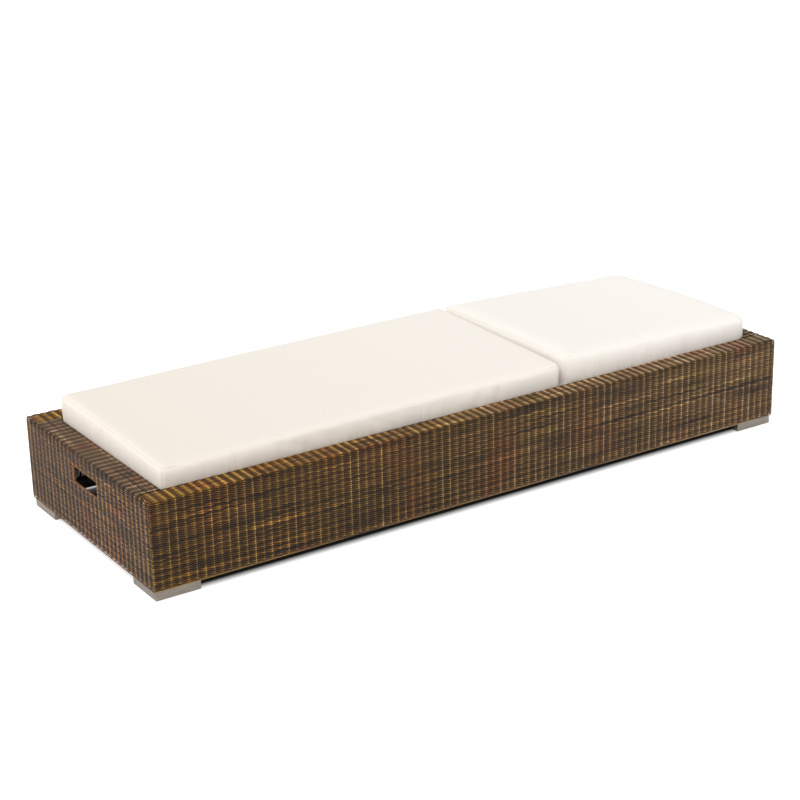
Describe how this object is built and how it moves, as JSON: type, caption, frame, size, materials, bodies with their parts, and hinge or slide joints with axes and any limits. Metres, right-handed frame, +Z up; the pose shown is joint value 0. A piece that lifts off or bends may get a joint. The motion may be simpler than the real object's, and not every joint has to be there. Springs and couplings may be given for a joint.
{
  "type": "chaise lounger",
  "caption": "Low woven lounger on block feet, with a slatted deck, a backrest that tilts up on a prop stay, carrying slots in the ends and loose box cushions.",
  "frame": {"origin": "on the floor, below the middle of the woven base", "axes": "+X along the lounger towards the head end, +Y across it, +Z up"},
  "size_m": [2, 0.72, 0.3421],
  "materials": {
    "wicker": "satin",
    "frame_tube": "matte",
    "deck_slat": "matte",
    "steel_fastener": "satin",
    "prop_steel": "satin",
    "foot_metal": "satin",
    "glide_plastic": "matte",
    "leg_cushion_cloth": "matte",
    "head_cushion_cloth": "matte"
  },
  "bodies": {
    "base": {"front_weave": "wicker", "back_weave": "wicker", "foot_end_weave": "wicker", "head_end_weave": "wicker", "front_bottom_rail": "frame_tube", "back_bottom_rail": "frame_tube", "foot_end_bottom_rail": "frame_tube", "head_end_bottom_rail": "frame_tube", "front_top_rail": "frame_tube", "back_top_rail": "frame_tube", "foot_end_top_rail": "frame_tube", "head_end_top_rail": "frame_tube", "front_foot_end_corner_post": "frame_tube", "front_head_end_corner_post": "frame_tube", "back_foot_end_corner_post": "frame_tube", "back_head_end_corner_post": "frame_tube", "front_side_post_1": "frame_tube", "front_side_post_2": "frame_tube", "back_side_post_1": "frame_tube", "back_side_post_2": "frame_tube", "front_ledge_rail": "frame_tube", "back_ledge_rail": "frame_tube", "leg_deck_bearer_1": "frame_tube", "leg_deck_bearer_2": "frame_tube", "leg_deck_bearer_3": "frame_tube", "leg_deck_bearer_4": "frame_tube", "hinge_bearer": "frame_tube", "backrest_rest_bearer": "frame_tube", "rack_rail_front": "frame_tube", "rack_rail_back": "frame_tube", "hinge_bracket_front": "frame_tube", "hinge_bracket_back": "frame_tube", "prop_rack_front": "frame_tube", "prop_rack_back": "frame_tube", "leg_deck_slat_1": "deck_slat", "leg_deck_slat_2": "deck_slat", "leg_deck_slat_3": "deck_slat", "leg_deck_slat_4": "deck_slat", "hinge_pins": "steel_fastener", "foot_screws": "steel_fastener", "front_foot_end_foot": "foot_metal", "front_head_end_foot": "foot_metal", "back_foot_end_foot": "foot_metal", "back_head_end_foot": "foot_metal", "foot_glides": "glide_plastic", "leg_cushion": "leg_cushion_cloth"},
    "backrest": {"backrest_front_stile": "frame_tube", "backrest_back_stile": "frame_tube", "backrest_hinge_cross_tube": "frame_tube", "backrest_middle_cross_tube": "frame_tube", "backrest_head_cross_tube": "frame_tube", "backrest_slat_1": "deck_slat", "backrest_slat_2": "deck_slat", "backrest_slat_3": "deck_slat", "backrest_slat_4": "deck_slat", "prop_pivot_pins": "steel_fastener", "head_cushion": "head_cushion_cloth"},
    "prop_stay": {"prop_arm_front": "prop_steel", "prop_arm_back": "prop_steel", "prop_rod": "prop_steel"}
  },
  "joints": [
    {"name": "backrest_tilt", "type": "hinge", "parent": "base", "child": "backrest", "pos_m": [0.276, 0, 0.2005], "axis": [0, -1, 0], "range_deg": [0, 65], "deforming": ["leg_cushion", "head_cushion"]},
    {"name": "prop_stay_swing", "type": "hinge", "parent": "backrest", "child": "prop_stay", "pos_m": [0.556, 0, 0.2005], "axis": [0, -1, 0], "range_deg": [-130, 0]}
  ],
  "couplings": [
    {"joint": "prop_stay_swing", "follows": "backrest_tilt", "ratio": -2}
  ]
}
